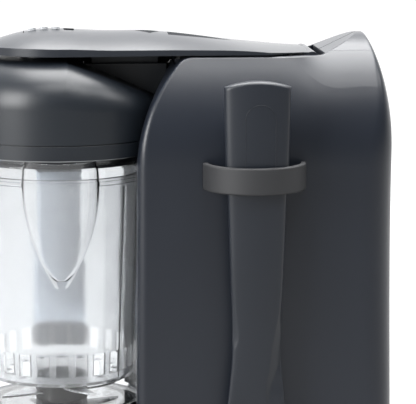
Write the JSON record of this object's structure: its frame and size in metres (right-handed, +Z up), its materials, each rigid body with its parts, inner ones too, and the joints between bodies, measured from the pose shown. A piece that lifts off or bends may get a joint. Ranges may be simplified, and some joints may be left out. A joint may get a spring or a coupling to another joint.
{
  "type": "baby food maker",
  "caption": "Countertop baby food maker: clear steaming and blending bowl under a domed lid on a hinged arm, beside a housing with motor, heater, knob and clipped spatula.",
  "frame": {"origin": "on the table, under the middle of the whole machine's length and width", "axes": "+X from the bowl to the housing, +Y towards the side with the knob, +Z up"},
  "size_m": [0.272, 0.184, 0.2709],
  "materials": {
    "housing_plastic": "satin moulded dark slate grey",
    "arm_plastic": "satin moulded dark slate grey",
    "lid_plastic": "satin moulded dark slate grey",
    "spatula_plastic": "satin moulded dark grey",
    "loop_silicone": "matt silicone, warm grey",
    "clear_plastic": "clear moulded",
    "basket_plastic": "milky translucent",
    "handle_plastic": "satin grey blue",
    "pip_plastic": "satin light grey",
    "inlay_plastic": "gloss black",
    "black_plastic": "matt black",
    "dial_plastic": "satin light grey",
    "steel": "brushed",
    "aluminium": "cast",
    "iron": "laminated, lacquered",
    "brass": "sintered",
    "rubber": "matt",
    "seal_silicone": "matt silicone, pale grey",
    "board": "lacquered laminate",
    "lens": "clear amber"
  },
  "bodies": {
    "housing": {"base_casing": "housing_plastic", "bottom_plate": "black_plastic", "base_screws": "steel", "feet": "rubber", "back_shell": "housing_plastic", "front_shell": "housing_plastic", "end_spine": "housing_plastic", "bay_wall": "housing_plastic", "top_deck": "housing_plastic", "hinge_bracket": "housing_plastic", "hinge_pin": "steel", "bowl": "clear_plastic", "bowl_handle": "handle_plastic", "steam_basket": "basket_plastic", "blade_bush": "brass", "shaft_seal": "rubber", "drive_bushes": "brass", "drive_belt": "rubber", "motor_plate": "steel", "motor_screws": "steel", "motor_end_bells": "aluminium", "motor_bearings": "steel", "motor_stator": "iron", "heating_tank": "steel", "heater_plate": "aluminium", "thermostats": "black_plastic", "steam_outlet": "steel", "dial_plate": "dial_plastic", "rotary_switch": "black_plastic", "control_board": "board", "indicator_lens": "lens", "cord_gland": "rubber", "spatula_loop": "loop_silicone"},
    "arm": {"arm_cover": "arm_plastic", "arm_underplate": "arm_plastic", "arrow_inlay": "inlay_plastic", "tank_seal": "seal_silicone", "lid_dome": "lid_plastic", "lid_rim": "lid_plastic", "lid_skirt": "lid_plastic", "lid_seal": "seal_silicone", "lid_carrier": "arm_plastic", "steam_duct": "lid_plastic", "duct_seal": "rubber"},
    "latch": {"latch_bar": "black_plastic", "release_slider": "arm_plastic", "grip_pips": "pip_plastic"},
    "blade": {"blade_knives": "steel", "blade_hub": "black_plastic", "blade_shaft": "steel", "bowl_coupling": "black_plastic", "drive_dog": "black_plastic", "drive_shaft": "steel", "driven_pulley": "black_plastic"},
    "rotor": {"motor_rotor": "iron", "motor_shaft": "steel", "motor_fan": "black_plastic", "motor_pulley": "aluminium"},
    "knob": {"knob": "housing_plastic"},
    "spatula": {"spatula": "spatula_plastic"}
  },
  "joints": [
    {"name": "arm_hinge", "type": "hinge", "parent": "housing", "child": "arm", "pos_m": [0.087, 0, 0.251], "axis": [0, 1, 0], "range_deg": [0, 85]},
    {"name": "latch_slide", "type": "slide", "parent": "arm", "child": "latch", "axis": [1, 0, 0], "range_m": [0, 0.006]},
    {"name": "knob_turn", "type": "hinge", "parent": "housing", "child": "knob", "pos_m": [0.056, 0.062, 0.082], "axis": [0, 1, 0], "range_deg": [-60, 60]},
    {"name": "motor_spin", "type": "hinge", "parent": "housing", "child": "rotor", "pos_m": [0.076, 0, 0.06], "axis": [0, 0, 1], "continuous": true},
    {"name": "blade_spin", "type": "hinge", "parent": "housing", "child": "blade", "pos_m": [-0.071, 0, 0.03], "axis": [0, 0, 1], "continuous": true},
    {"name": "spatula_lift", "type": "slide", "parent": "housing", "child": "spatula", "axis": [0, 0, 1], "range_m": [0, 0.175]}
  ],
  "couplings": [
    {"joint": "blade_spin", "follows": "motor_spin", "ratio": 0.33333}
  ]
}
